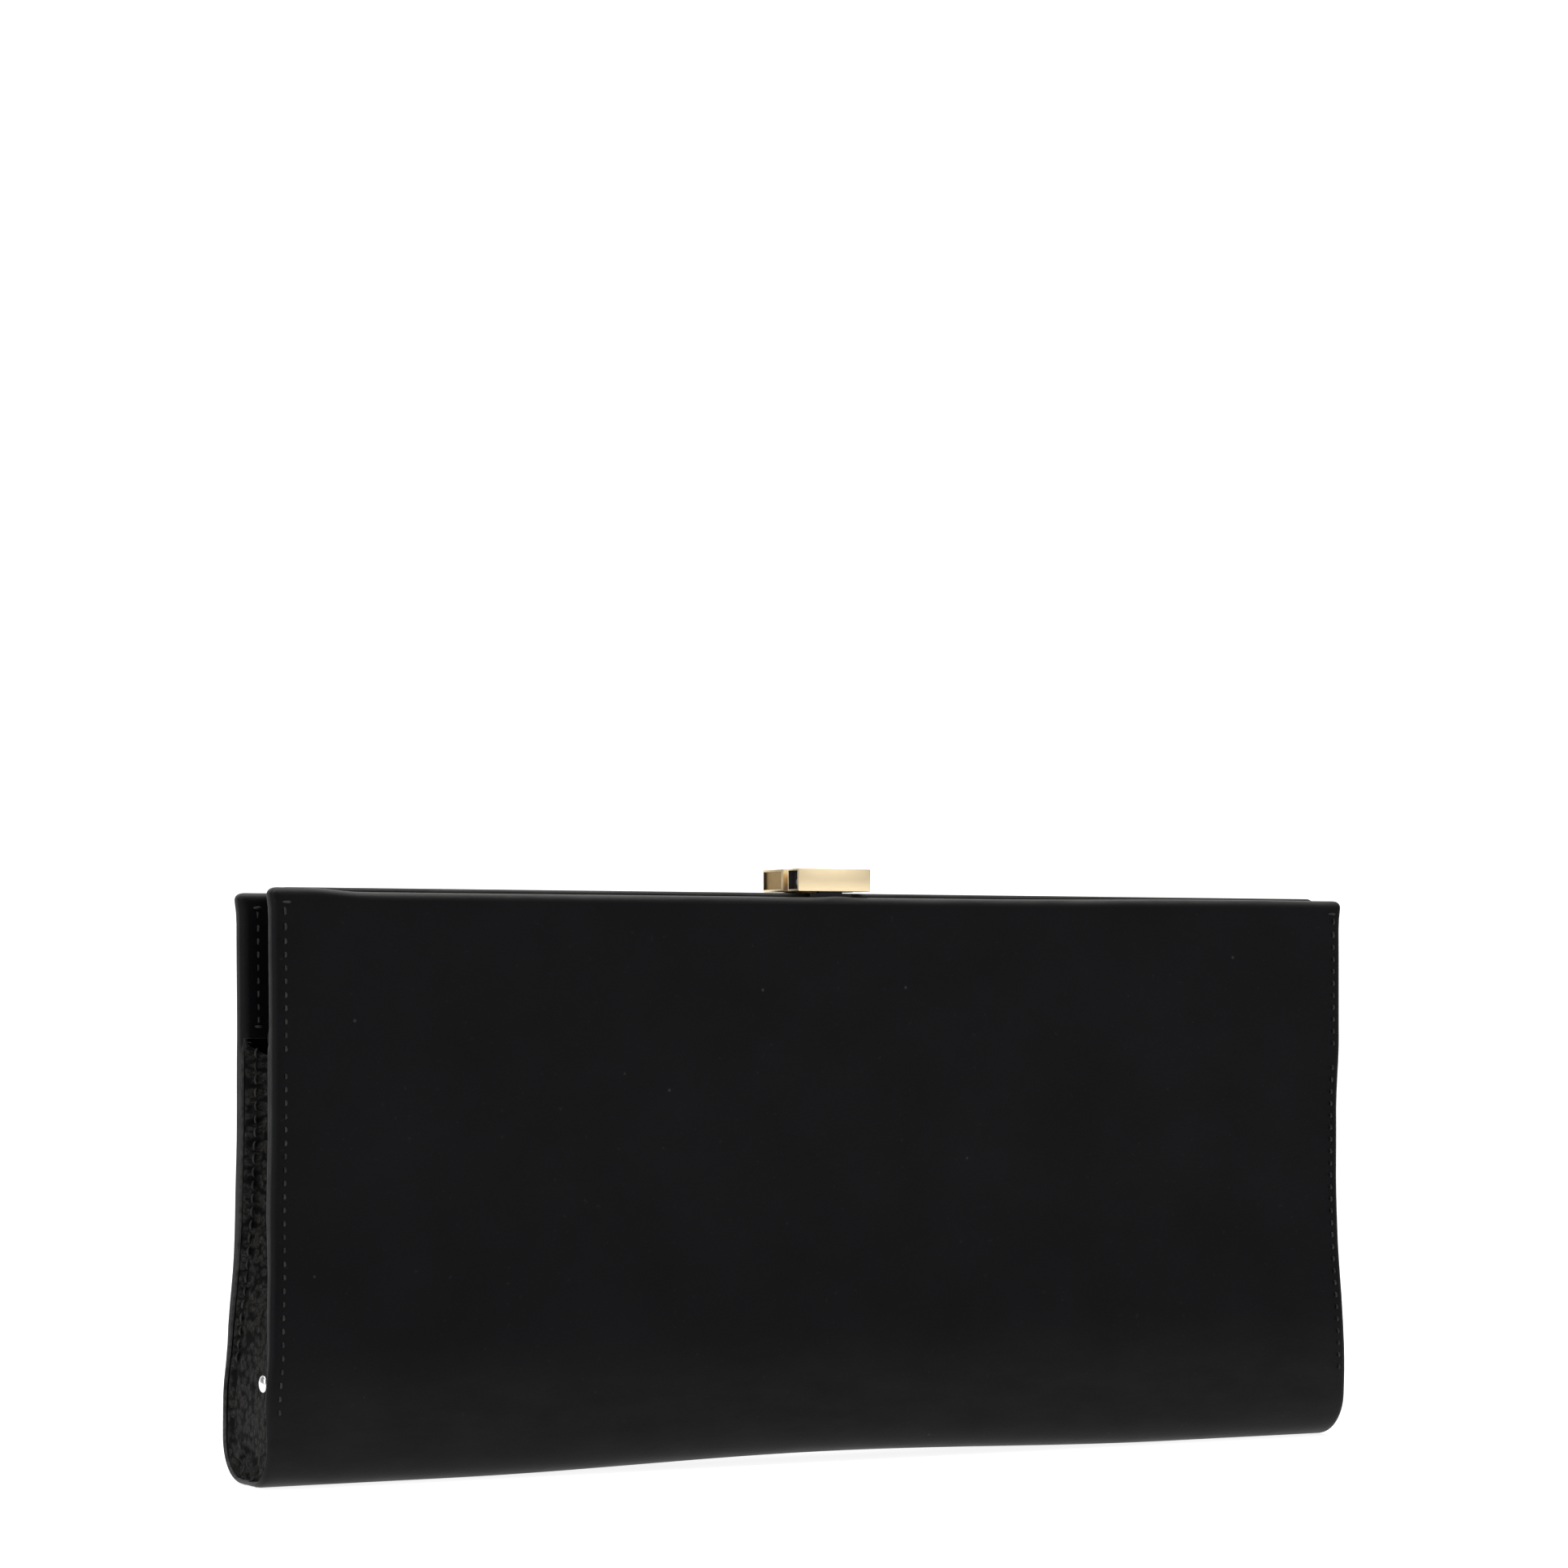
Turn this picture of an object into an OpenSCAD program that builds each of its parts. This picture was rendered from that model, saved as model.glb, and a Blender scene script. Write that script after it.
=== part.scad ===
// Leather clutch purse with a hinged two-part frame and a bar clasp.
// X runs along the purse, the front faces -Y, and Z = 0 is the surface it stands on.

/* [Overall] */
// Length of the purse over its leather
purse_length = 280; // [220:1:340]
// Height of the leather panels, without the frame lip and clasp
panel_height = 130; // [115:1:165]
// Widest depth of the body, low down
bulge_depth = 28.4; // [27:0.2:36]
// Height up to which the body keeps its widest depth
bulge_height = 22; // [18:1:30]
// Height at which the body has narrowed to the depth of its top
waist_height = 62; // [50:1:70]
// Radius between the bottom and the sides
bottom_radius = 10; // [8:0.5:12]

/* [Leather and lining] */
// Thickness of the outer leather
leather_t = 1.8; // [1.2:0.1:2.2]
// Thickness of the gusset leather
gusset_t = 1.4; // [1:0.1:1.8]
// Thickness of the leather around the frame
cover_t = 0.8; // [0.6:0.1:1.2]
// Thickness of the strip that joins a turned top to its frame
facing_t = 1.5; // [1:0.1:2]
// Thickness of the core in a turned top
core_t = 1.4; // [1:0.1:2]
// Thickness of the stiffening boards
board_t = 0.8; // [0.5:0.1:1.2]
// Thickness of the lining
lining_t = 0.6; // [0.4:0.1:1]
// Thickness of the slip pocket's panel
pocket_t = 0.8; // [0.5:0.1:1]
// Length of the slip pocket
pocket_length = 150; // [80:5:180]
// Height of the slip pocket's lower and upper edges
pocket_low = 26; // [24:1:40]
pocket_high = 80; // [60:1:85]

/* [Gussets] */
// How far the fold reaches in from the end
fold_reach = 13; // [10:0.5:20]
// Distance from the end to the leaf's outer edge
gusset_inset = 0.5; // [0.4:0.1:3]
// Distance from the end to the bend between the flat margin and the fold
knee_inset = 1.4; // [1.2:0.1:5]
// Half the depth of the fold where it meets the flat margins
fold_half = 5.2; // [4:0.1:6]
// Radius of the rivet head on each gusset
rivet_head_r = 1.95; // [1.5:0.05:2.5]
// Height of that rivet
rivet_z = 22.8; // [18:0.2:30]
// Distance of that rivet from the middle of the gusset, towards the front
rivet_forward = 8; // [7.5:0.1:8.5]

/* [Frame] */
// Depth of the steel bar, front to back
rail_depth = 3.6; // [3:0.1:5]
// Height of the steel bar
rail_height = 9; // [6:0.5:12]
// Thickness of a frame arm, along the purse
arm_t = 2.4; // [1.8:0.1:3]
// How far the hinge axis lies below the panels' top
hinge_drop = 32; // [28:1:40]
// How far the covered frame stands above the panels
lip_rise = 1.4; // [1:0.1:3]
// Distance from the purse's end to the cover of the front frame
lip_inset = 2.5; // [2.4:0.1:6]
// Radius of the arm's rounded end
ear_r = 3; // [2.6:0.1:4]
// Radius of the hinge pins
hinge_pin_r = 1.5; // [1:0.1:1.8]
// Angle that each half of the frame opens, in degrees
open_angle = 40; // [20:1:45]

/* [Clasp] */
// Length of both clasp bars
bar_length = 19.2; // [15:0.1:30]
// Height of both clasp bars
bar_height = 5.3; // [4.6:0.05:8]
// Depth of the front bar, front to back
bar_depth = 5.35; // [5.2:0.05:8]
// Wall of the hollow front bar
bar_wall = 0.8; // [0.6:0.05:1]
// Gap between the front bar and the rear block
bar_gap = 2.5; // [2:0.1:5]
// Width of the brackets that carry the clasp
bracket_width = 11; // [9:0.5:14]
// Radius of the lever's pin
lever_pin_r = 0.75; // [0.5:0.05:0.9]
// Travel of the lever, in degrees
lever_angle = 12; // [5:1:12]

/* [Hidden] */
$fn = 48;

black_leather = [0.10, 0.10, 0.10];
dark_leather = [0.17, 0.16, 0.15];
light_gold = [0.85, 0.77, 0.58];
steel = [0.72, 0.73, 0.75];
board_grey = [0.55, 0.52, 0.48];
lining_black = [0.22, 0.20, 0.24];

// Clearances
soft_gap = 0.3;      // a soft piece beside one that moves past it
metal_gap = 0.35;    // the clasp above the leather lip
run_gap = 0.05;      // radial, between a turning pin and its bore
seat_gap = 0.02;     // radial, where a pin or rivet is fixed
slab_gap = 0.4;      // between the nested arms
mid_gap = 0.3;       // from the closing plane to each frame cover

// Layers of a frame half, measured from the closing plane outwards
cover_in = mid_gap;
rail_in = cover_in + cover_t;
rail_out = rail_in + rail_depth;
cover_out = rail_out + cover_t;
facing_out = cover_out + facing_t;
turn_out = facing_out + leather_t;
core_out = turn_out + core_t;
top_half = core_out + leather_t;

// Heights
hinge_z = panel_height - hinge_drop;
lip_z = panel_height + lip_rise;
rail_top = lip_z - cover_t;
rail_low = rail_top - rail_height;
cover_low = rail_low - 1.8;
panel_start = 1;
panel_low = hinge_z + panel_start;
turn_low = panel_height - 14;
facing_low = hinge_z + 6;
arm_cover_low = hinge_z + 9;
// The panel's lower corner swings down as the frame opens, and the fixed shell ends just below it.
corner_drop = top_half * sin(open_angle) - panel_start * cos(open_angle);
shell_top = hinge_z - corner_drop - 0.5;
board_top = shell_top - 2;
bracket_low = panel_height - 18;

// Lengths, as half-lengths from the middle
half_length = purse_length / 2;
core_half = half_length - leather_t;
front_cover_half = half_length - lip_inset;
front_arm_out = front_cover_half - 1.5;
front_arm_in = front_arm_out - arm_t;
rear_arm_out = front_arm_in - slab_gap;
rear_arm_in = rear_arm_out - arm_t;
rear_cover_half = rear_arm_out + 1.6;
facing_half = rear_arm_in - 1;
arm_foot = ear_r - 0.15;    // the arm runs a little inside its rounded end
fold_x = half_length - fold_reach;

// Hinge pins
pin_head_r = hinge_pin_r + 0.8;
pin_head_t = 0.9;
pin_tail_r = hinge_pin_r + 0.6;

// Plan of half a gusset on the +X end: the fold, the bend and the panel's edge, on its outer face
leaf_plan = [[fold_x, 0], [half_length - knee_inset, fold_half], [half_length - gusset_inset, bulge_depth / 2]];
function outward(a, b) = [b[1] - a[1], a[0] - b[0]] / norm(b - a);
fold_normal = outward(leaf_plan[0], leaf_plan[1]);
margin_normal = outward(leaf_plan[1], leaf_plan[2]);
bend_normal = (fold_normal + margin_normal) / (1 + fold_normal * margin_normal);
fold_inner_x = fold_x - gusset_t / fold_normal[0];
board_half = fold_inner_x - 0.5;

// Rivet through each gusset's front margin
rivet_shank_r = 0.9;
rivet_head_t = 0.8;
rivet_tail_t = 0.6;

// Clasp
clasp_z = lip_z + metal_gap;
clasp_top = clasp_z + bar_height;
bracket_half = bracket_width / 2;
bracket_mid = (cover_out + facing_out) / 2;
pivot_y = -bracket_mid;
bar_front = pivot_y - bar_depth / 2;
bar_rear = pivot_y + bar_depth / 2;
pivot_z = clasp_z + 2.15;
knuckle_r = lever_pin_r + 0.75;
knuckle_half = 3;
hollow_half = bracket_half + 0.4;
block_front = bar_rear + bar_gap;
block_rear = -bar_front;
tongue_half = 3;
tongue_low = clasp_z + 0.45;
tongue_t = 0.8;
tongue_tip = block_front + 3.4;
slot_deep = tongue_tip + 0.8;
slot_half = tongue_half + 0.6;
slot_roof = clasp_top - 1.2;
frame_rivet_x = 3.4;
frame_rivet_z = rail_low + 4.4;
frame_rivet_r = 0.9;
frame_rivet_head_r = 1.6;
frame_rivet_head_t = 0.6;

// Section of the body: half of it, from the middle of the bottom up to the shell's top
foot_half = bulge_depth / 2 - bottom_radius;
function half_section() = concat(
    [[0, 0]],
    [for (a = [-90 : 15 : 0]) [foot_half + bottom_radius * cos(a), bottom_radius * (1 + sin(a))]],
    [[bulge_depth / 2, bulge_height], [top_half, waist_height], [top_half, shell_top]]);
function mirrored(path) = [for (i = [len(path) - 1 : -1 : 1]) [-path[i][0], path[i][1]]];
function whole_section() = concat(mirrored(half_section()), half_section());
function unit(v) = v / norm(v);
function direction(path, i) = unit(path[min(i + 1, len(path) - 1)] - path[max(i - 1, 0)]);
function flattened(path, i) = (i == 0 || i == len(path) - 1) ? unit([0, i == 0 ? -1 : 1]) : direction(path, i);
// The section, moved inwards by t
function inset(path, t) = [for (i = [0 : len(path) - 1])
    let (d = flattened(path, i)) path[i] + t * [-d[1], d[0]]];
function reversed(path) = [for (i = [len(path) - 1 : -1 : 0]) path[i]];

// Stands a (Y, Z) outline up and gives it a length along X, centred
module along_x(length) {
    rotate([90, 0, 90]) linear_extrude(length, center = true) children();
}

// A layer of the body between two depths under its outer face
module layer(outer, inner) {
    path = whole_section();
    polygon(concat(inset(path, outer), reversed(inset(path, inner))));
}

// Keeps what lies between two heights, on one side of the middle: side is -1 or 1
module clip(side, low, high) {
    intersection() {
        children();
        translate([side > 0 ? 0 : -bulge_depth, low]) square([bulge_depth, high - low]);
    }
}

// A block from its lowest to its highest corner
module block(low, high) {
    translate(low) cube(high - low);
}

// ---------- the pouch ----------

module outer_leather() {
    color(black_leather) along_x(purse_length) layer(0, leather_t);
}

module side_board(side) {
    along_x(2 * board_half) clip(side, bottom_radius + 4, board_top) layer(leather_t, leather_t + board_t);
}

module front_board() {
    color(board_grey) side_board(-1);
}

module rear_board() {
    color(board_grey) side_board(1);
}

module base_board() {
    color(board_grey)
        block([-board_half, -foot_half + 0.4, leather_t],
              [board_half, foot_half - 0.4, leather_t + board_t - seat_gap]);
}

module lining() {
    inner = leather_t + board_t;
    color(lining_black) along_x(2 * board_half) layer(inner, inner + lining_t);
}

module slip_pocket() {
    inner = leather_t + board_t + lining_t;
    color(lining_black) along_x(pocket_length) clip(1, pocket_low, pocket_high) layer(inner, inner + pocket_t);
}

// Half a gusset in plan, from its outer face inwards
module leaf_strip() {
    polygon([[fold_inner_x, 0], leaf_plan[0], leaf_plan[1], leaf_plan[2],
             leaf_plan[2] - gusset_t * margin_normal, leaf_plan[1] - gusset_t * bend_normal]);
}

// Puts the rivet on the front margin, its head outwards
module rivet_place() {
    run = leaf_plan[2] - leaf_plan[1];
    at = leaf_plan[1] + run * (rivet_forward - fold_half) / run[1];
    mirror([0, 1, 0]) translate([at[0], at[1], rivet_z])
        rotate([0, 90, atan2(margin_normal[1], margin_normal[0])]) children();
}

module gusset() {
    difference() {
        union() {
            intersection() {
                linear_extrude(shell_top - 0.3) union() {
                    leaf_strip();
                    mirror([0, 1]) leaf_strip();
                }
                along_x(purse_length) polygon(inset(whole_section(), leather_t));
            }
            // The fold is gathered under the hinge, which it hangs from
            block([fold_x - 0.6, -2.6, shell_top - 4], [front_arm_out, 2.6, hinge_z - ear_r - soft_gap]);
        }
        rivet_place() cylinder(h = 8, r = rivet_shank_r + seat_gap, center = true);
    }
}

module gusset_right() {
    color(dark_leather) gusset();
}

module gusset_left() {
    color(dark_leather) mirror([1, 0, 0]) gusset();
}

module gusset_rivet() {
    rivet_place() {
        cylinder(h = rivet_head_t, r = rivet_head_r);
        translate([0, 0, -gusset_t - rivet_tail_t])
            cylinder(h = gusset_t + rivet_tail_t + 0.2, r = rivet_shank_r);
        translate([0, 0, -gusset_t - rivet_tail_t]) cylinder(h = rivet_tail_t, r = rivet_head_r - 0.3);
    }
}

module gusset_rivet_right() {
    color(steel) gusset_rivet();
}

module gusset_rivet_left() {
    color(steel) mirror([1, 0, 0]) gusset_rivet();
}

// ---------- one half of the frame, drawn for the front ----------

module at_both_ends() {
    children();
    mirror([1, 0, 0]) children();
}

module frame_rivet_holes() {
    for (side = [-1, 1])
        translate([side * frame_rivet_x, -facing_out - 1, frame_rivet_z]) rotate([-90, 0, 0])
            cylinder(h = facing_out + 0.6 - cover_in, r = frame_rivet_r + seat_gap);
}

// The steel bar with its arms, between two distances from the middle
module frame_half(arm_in, arm_out, bore_r) {
    difference() {
        union() {
            block([-arm_out, -rail_out, rail_low], [arm_out, -rail_in, rail_top]);
            at_both_ends() translate([(arm_in + arm_out) / 2, 0, 0]) along_x(arm_t) {
                polygon([[-rail_out, rail_low + 1], [-rail_in, rail_low + 1], [-rail_in, hinge_z + 9],
                         [arm_foot * cos(30), hinge_z + arm_foot * sin(30)], [-arm_foot, hinge_z + 0.5],
                         [-rail_out, hinge_z + 8]]);
                translate([0, hinge_z]) circle(ear_r);
            }
        }
        translate([0, 0, hinge_z]) rotate([0, 90, 0])
            cylinder(h = purse_length, r = bore_r, center = true);
        frame_rivet_holes();
    }
}

// The leather around the bar and the upper part of the arms
module cover_half(cover_half_length, arm_in, arm_out) {
    difference() {
        union() {
            block([-cover_half_length, -cover_out, cover_low], [cover_half_length, -cover_in, lip_z]);
            at_both_ends()
                block([arm_in - cover_t, -cover_out, arm_cover_low],
                      [cover_half_length, -cover_in, cover_low + 1]);
        }
        block([-arm_out, -rail_out, cover_low - 1], [arm_out, -rail_in, rail_top]);
        at_both_ends() block([arm_in, -rail_out, arm_cover_low - 1], [arm_out, -rail_in, rail_top]);
        frame_rivet_holes();
    }
}

// The turned leather top of a panel: outer face, top edge, wrapped ends and a short inner turn
module panel_top_half() {
    difference() {
        block([-half_length, -top_half, panel_low], [half_length, -facing_out, panel_height]);
        block([-core_half, -core_out, panel_low - 1], [core_half, -turn_out, panel_height - leather_t]);
        block([-core_half, -core_out, panel_low - 1], [core_half, 1 - facing_out, turn_low]);
        block([-bracket_half - 0.5, -turn_out, turn_low - 1], [bracket_half + 0.5, 1 - facing_out, lip_z]);
    }
}

module top_core_half() {
    block([-core_half, -core_out, panel_low + 2], [core_half, -turn_out, panel_height - leather_t]);
}

module facing_half_strip() {
    difference() {
        block([-facing_half, -facing_out, facing_low], [facing_half, -cover_out, panel_height - 3]);
        block([-bracket_half - 0.2, -facing_out - 1, bracket_low - 0.2],
              [bracket_half + 0.2, 1 - cover_out, panel_height]);
    }
}

// The plate that carries the clasp, in the notch of the panel's top
module bracket_plate(high) {
    difference() {
        block([-bracket_half, -facing_out, bracket_low], [bracket_half, -cover_out, high]);
        frame_rivet_holes();
    }
}

module frame_rivets_half() {
    for (side = [-1, 1])
        translate([side * frame_rivet_x, -facing_out, frame_rivet_z]) rotate([-90, 0, 0]) {
            translate([0, 0, -frame_rivet_head_t]) cylinder(h = frame_rivet_head_t, r = frame_rivet_head_r);
            cylinder(h = facing_out - rail_in, r = frame_rivet_r);
        }
}

// ---------- front half ----------

module front_frame() {
    color(steel) frame_half(front_arm_in, front_arm_out, hinge_pin_r + seat_gap);
}

module front_frame_cover() {
    color(black_leather) cover_half(front_cover_half, front_arm_in, front_arm_out);
}

module front_panel_top() {
    color(black_leather) panel_top_half();
}

module front_top_core() {
    color(board_grey) top_core_half();
}

module front_facing() {
    color(dark_leather) facing_half_strip();
}

module clasp_bracket() {
    color(light_gold) difference() {
        union() {
            bracket_plate(clasp_z - 0.4);
            block([-knuckle_half, -facing_out, clasp_z - 0.6], [knuckle_half, -cover_out, pivot_z]);
            translate([0, pivot_y, pivot_z]) rotate([0, 90, 0])
                cylinder(h = 2 * knuckle_half, r = knuckle_r, center = true);
        }
        translate([0, pivot_y, pivot_z]) rotate([0, 90, 0])
            cylinder(h = bar_length, r = lever_pin_r + run_gap, center = true);
    }
}

module bracket_rivets() {
    color(steel) frame_rivets_half();
}

module hinge_pin() {
    tail = rear_arm_in - 0.1;
    translate([0, 0, hinge_z]) rotate([0, 90, 0]) {
        translate([0, 0, tail - 0.9]) cylinder(h = 0.9, r = pin_tail_r);
        translate([0, 0, tail - 0.2]) cylinder(h = front_arm_out - tail + 0.4, r = hinge_pin_r);
        translate([0, 0, front_arm_out]) cylinder(h = pin_head_t, r = pin_head_r);
    }
}

module hinge_pin_right() {
    color(steel) hinge_pin();
}

module hinge_pin_left() {
    color(steel) mirror([1, 0, 0]) hinge_pin();
}

// ---------- rear half ----------

module rear_frame() {
    color(steel) mirror([0, 1, 0]) frame_half(rear_arm_in, rear_arm_out, hinge_pin_r + run_gap);
}

module rear_frame_cover() {
    color(black_leather) mirror([0, 1, 0]) cover_half(rear_cover_half, rear_arm_in, rear_arm_out);
}

module rear_panel_top() {
    color(black_leather) mirror([0, 1, 0]) panel_top_half();
}

module rear_top_core() {
    color(board_grey) mirror([0, 1, 0]) top_core_half();
}

module rear_facing() {
    color(dark_leather) mirror([0, 1, 0]) facing_half_strip();
}

module clasp_keeper() {
    color(light_gold) {
        mirror([0, 1, 0]) bracket_plate(clasp_z + 0.5);
        difference() {
            block([-bar_length / 2, block_front, clasp_z], [bar_length / 2, block_rear, clasp_top]);
            block([-slot_half, block_front - 1, clasp_z - 1], [slot_half, slot_deep, slot_roof]);
        }
    }
}

module keeper_rivets() {
    color(steel) mirror([0, 1, 0]) frame_rivets_half();
}

// ---------- clasp lever ----------

module lever_bar() {
    color(light_gold) difference() {
        union() {
            block([-bar_length / 2, bar_front, clasp_z], [bar_length / 2, bar_rear, clasp_top]);
            block([-tongue_half, bar_rear - bar_wall, tongue_low],
                  [tongue_half, tongue_tip, tongue_low + tongue_t]);
        }
        block([-hollow_half, bar_front + bar_wall, clasp_z - 1],
              [hollow_half, bar_rear - bar_wall, clasp_top - bar_wall]);
        translate([0, pivot_y, pivot_z]) rotate([0, 90, 0])
            cylinder(h = bar_length - 2, r = lever_pin_r + seat_gap, center = true);
    }
}

module lever_pin() {
    color(steel) translate([0, pivot_y, pivot_z]) rotate([0, 90, 0])
        cylinder(h = bar_length - 2.4, r = lever_pin_r, center = true);
}

// Closed coils of a torsion spring, around the pin beside the bracket's knuckle
module lever_spring() {
    wire_r = 0.26;
    color(steel) translate([knuckle_half + 0.5, pivot_y, pivot_z]) rotate([0, 90, 0])
        for (i = [0 : 3]) translate([0, 0, i * 0.5]) rotate_extrude()
            translate([lever_pin_r + 0.04 + wire_r, 0]) circle(wire_r, $fn = 24);
}

outer_leather();
front_board();
rear_board();
base_board();
lining();
slip_pocket();
gusset_left();
gusset_right();
gusset_rivet_left();
gusset_rivet_right();
front_frame();
front_frame_cover();
front_panel_top();
front_top_core();
front_facing();
clasp_bracket();
bracket_rivets();
hinge_pin_left();
hinge_pin_right();
rear_frame();
rear_frame_cover();
rear_panel_top();
rear_top_core();
rear_facing();
clasp_keeper();
keeper_rivets();
lever_bar();
lever_pin();
lever_spring();
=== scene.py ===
import math

import bmesh
import bpy
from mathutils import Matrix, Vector, noise


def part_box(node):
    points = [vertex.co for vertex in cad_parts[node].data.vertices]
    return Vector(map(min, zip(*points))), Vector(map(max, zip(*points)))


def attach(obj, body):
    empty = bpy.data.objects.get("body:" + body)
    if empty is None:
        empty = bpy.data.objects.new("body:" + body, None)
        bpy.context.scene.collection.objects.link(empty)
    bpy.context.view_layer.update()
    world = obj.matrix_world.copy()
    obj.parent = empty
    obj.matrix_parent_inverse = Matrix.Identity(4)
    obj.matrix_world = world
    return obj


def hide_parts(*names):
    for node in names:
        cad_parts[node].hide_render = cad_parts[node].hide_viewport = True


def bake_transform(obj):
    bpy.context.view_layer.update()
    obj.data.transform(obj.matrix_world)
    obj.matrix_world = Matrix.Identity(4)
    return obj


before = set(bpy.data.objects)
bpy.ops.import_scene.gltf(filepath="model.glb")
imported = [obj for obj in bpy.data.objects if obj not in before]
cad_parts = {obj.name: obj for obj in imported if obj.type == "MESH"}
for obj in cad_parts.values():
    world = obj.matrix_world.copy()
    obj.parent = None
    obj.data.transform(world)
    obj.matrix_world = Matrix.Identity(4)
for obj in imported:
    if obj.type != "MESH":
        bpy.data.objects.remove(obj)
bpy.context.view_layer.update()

MM = 0.001


def box_mm(node):
    low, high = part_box(node)
    return low / MM, high / MM


# ---------- sizes, from the frame ----------

shell_high = box_mm("outer_leather")[1]
panel_low, panel_high = box_mm("front_panel_top")
cover_low, cover_high = box_mm("front_frame_cover")
rear_cover_low, rear_cover_high = box_mm("rear_frame_cover")
facing_low, facing_high = box_mm("front_facing")
front_steel_high = box_mm("front_frame")[1]
rear_steel_high = box_mm("rear_frame")[1]
bar_low, bar_high = box_mm("lever_bar")
block_low, block_high = box_mm("clasp_keeper")
lever_pin_low, lever_pin_high = box_mm("lever_pin")
bracket_low, bracket_high = box_mm("clasp_bracket")
board_low, board_high = box_mm("base_board")
pocket_low, pocket_high = box_mm("slip_pocket")
hinge_low, hinge_high = box_mm("hinge_pin_left")
rivet_low, rivet_high = box_mm("gusset_rivet_left")

HALF = shell_high.x
BULGE = shell_high.y
TOP = panel_high.z
TOP_OUT = -panel_low.y
TOP_IN = -panel_high.y
HINGE_Z = (hinge_low.z + hinge_high.z) / 2
WRAP_LOW = HINGE_Z
SIDES = {"front": -1, "rear": 1}

# Sizes that the boxes don't give, as in the CAD model
LEATHER_T = 1.8
GUSSET_T = 1.4
COVER_T = 0.8
LINING_T = 0.6
BOARD_T = 0.8
CORNER_R = 10
BULGE_Z = 22
WAIST_Z = 62
TURN_LOW = TOP - 14

# How the leather leaves its plain section
EDGE_R = 1.85           # rounding of the turned top
DEEP_TURN = 128         # beyond this the inner turn reaches down to the wrap's end
SPLIT = 1.5             # where the front leather ends on the flat bottom
SKIVED = 0.6            # the share of its thickness that the leather loses where it turns in
# Knots of (height, amount): how far the leather turns in round the end, how far the ends flare outwards,
# and how far the body leans to the left
RETURN = [(0, 0.8), (10, 1.0), (20, 2.0), (45, 3.3), (62, 4.0), (95, 4.2), (98, 5.0)]
FLARE = [(0, 1.2), (18, 1.5), (31, 0.9), (50, 0.3), (78, 0.25), (97, 0.7), (124, 0.9), (130, 1.5)]
LEAN = [(0, 1.7), (18, 1.4), (31, 1.1), (60, 0.85), (78, 0.6), (98, 0.2), (131, 0.3)]
TUCK = 1.2              # how far the gusset lies under the turned-in leather
ARCH_RISE = 1.7
ARCH_HALF = 95
NOTCH_HALF = bracket_high.x + 0.5
STITCH_X = 137.4
STITCH_PITCH = 2.9


# ---------- small helpers ----------

def smooth(t):
    t = min(max(t, 0.0), 1.0)
    return t * t * (3 - 2 * t)


def along(place, knots):
    """The value at a place, running smoothly through (place, value) knots."""
    if place <= knots[0][0]:
        return knots[0][1]
    for (a, low), (b, high) in zip(knots, knots[1:]):
        if place <= b:
            return low + (high - low) * smooth((place - a) / (b - a))
    return knots[-1][1]


def clamp(value, low, high):
    return min(max(value, low), high)


def spread(start, end, step):
    """Evenly spaced values from start to end, about step apart."""
    count = max(1, round(abs(end - start) / step))
    return [start + (end - start) * i / count for i in range(count + 1)]


def both_ways(values):
    """The values from 0 up, with their mirror image below 0."""
    return [-v for v in reversed(values) if v > 0] + list(values)


def join_runs(*runs):
    """Runs of values, one after the other, without repeats where they meet."""
    out = []
    for run in runs:
        out += [v for v in run if not out or abs(v - out[-1]) > 1e-6]
    return out


def new_object(name, mesh):
    piece = bpy.data.objects.new(name, mesh)
    bpy.context.scene.collection.objects.link(piece)
    return piece


def mesh_object(name, bm, materials):
    """A piece from a bmesh that is in millimetres."""
    bmesh.ops.scale(bm, vec=(MM, MM, MM), verts=bm.verts)
    mesh = bpy.data.meshes.new(name)
    bm.to_mesh(mesh)
    bm.free()
    for material in materials:
        mesh.materials.append(material)
    return new_object(name, mesh)


def bake_modifiers(piece):
    """Turns the piece's modifiers into its own mesh."""
    graph = bpy.context.evaluated_depsgraph_get()
    made = bpy.data.meshes.new_from_object(
        piece.evaluated_get(graph), preserve_all_data_layers=True, depsgraph=graph)
    piece.modifiers.clear()
    piece.data = made


def shade(piece, angle=48):
    """Smooth shading, with creases only at real corners."""
    mesh = piece.data
    mesh.polygons.foreach_set("use_smooth", [True] * len(mesh.polygons))
    mesh.set_sharp_from_angle(angle=math.radians(angle))


def patch(bm, columns, rows, place, chart, keep=None):
    """A grid of faces. place and chart give each node's point and its place on the flat cut."""
    uv = bm.loops.layers.uv.verify()
    nodes = [[bm.verts.new(place(c, r)) for r in rows] for c in columns]
    for i in range(len(columns) - 1):
        for j in range(len(rows) - 1):
            if keep and not keep(columns[i], columns[i + 1], rows[j], rows[j + 1]):
                continue
            ring = [(i, j), (i + 1, j), (i + 1, j + 1), (i, j + 1)]
            face = bm.faces.new([nodes[a][b] for a, b in ring])
            for loop, (a, b) in zip(face.loops, ring):
                u, v = chart(columns[a], rows[b])
                loop[uv].uv = (u * MM, v * MM)
    return nodes


def tidy_sheet(bm, outwards):
    """Welds the patches of a sheet and turns its faces so that one named direction is outside."""
    bmesh.ops.remove_doubles(bm, verts=bm.verts, dist=0.02)
    loose = [v for v in bm.verts if not v.link_faces]
    bmesh.ops.delete(bm, geom=loose, context="VERTS")
    bmesh.ops.recalc_face_normals(bm, faces=bm.faces)
    bm.normal_update()
    facing = sum(f.normal.dot(outwards) * f.calc_area() for f in bm.faces)
    if facing < 0:
        bmesh.ops.reverse_faces(bm, faces=bm.faces)


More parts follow.
